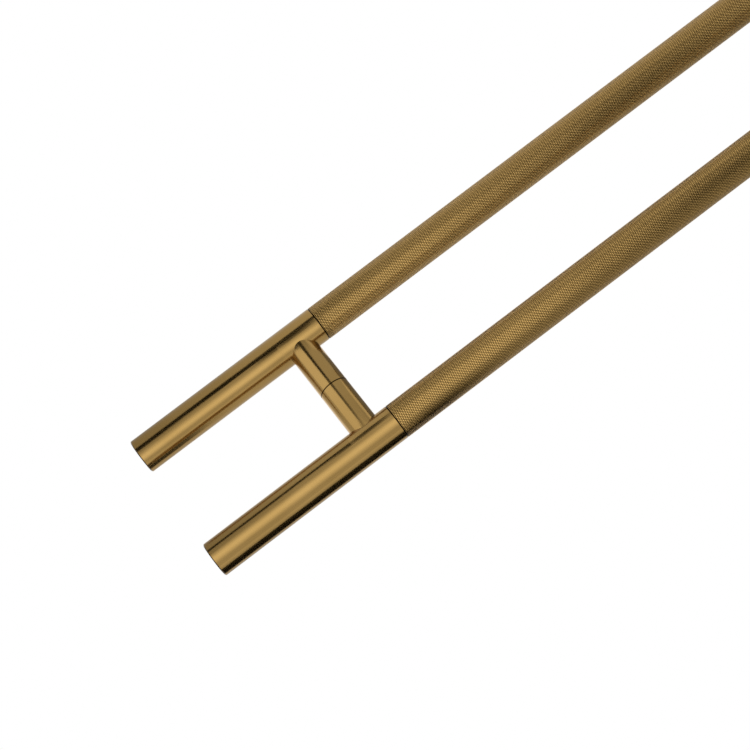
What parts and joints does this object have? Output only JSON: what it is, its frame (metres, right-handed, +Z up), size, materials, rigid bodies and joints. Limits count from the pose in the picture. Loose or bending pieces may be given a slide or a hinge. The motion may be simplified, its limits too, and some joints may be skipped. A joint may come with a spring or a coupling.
{
  "type": "ladder pull handle",
  "caption": "Back-to-back door pull of round brass rails with diamond-knurled grips and plain ends, joined by split round posts that clamp through a door leaf.",
  "frame": {"origin": "on the door line, where the split posts meet, midway up the handle", "axes": "+Z up along the rails, +Y from the front rail through the door to the rear rail, +X along the door's face"},
  "size_m": [0.03, 0.14, 1.2],
  "materials": {
    "satin_brass": "antique brass, satin polished and lacquered",
    "knurled_brass": "antique brass, fine diamond knurl",
    "turned_brass": "bare turned brass",
    "fastener_steel": "plain zinc-plated steel"
  },
  "bodies": {
    "root": {"front_grip": "knurled_brass", "rear_grip": "knurled_brass", "front_lower_end_tube": "satin_brass", "front_upper_end_tube": "satin_brass", "rear_lower_end_tube": "satin_brass", "rear_upper_end_tube": "satin_brass", "front_lower_end_cap": "satin_brass", "front_upper_end_cap": "satin_brass", "rear_lower_end_cap": "satin_brass", "rear_upper_end_cap": "satin_brass", "front_lower_post": "satin_brass", "front_upper_post": "satin_brass", "rear_lower_post": "satin_brass", "rear_upper_post": "satin_brass", "front_lower_joiner": "turned_brass", "front_upper_joiner": "turned_brass", "rear_lower_joiner": "turned_brass", "rear_upper_joiner": "turned_brass", "threaded_bushes": "turned_brass", "locking_bosses": "turned_brass", "post_screws": "fastener_steel", "through_studs": "fastener_steel", "grub_screws": "fastener_steel"}
  },
  "joints": []
}
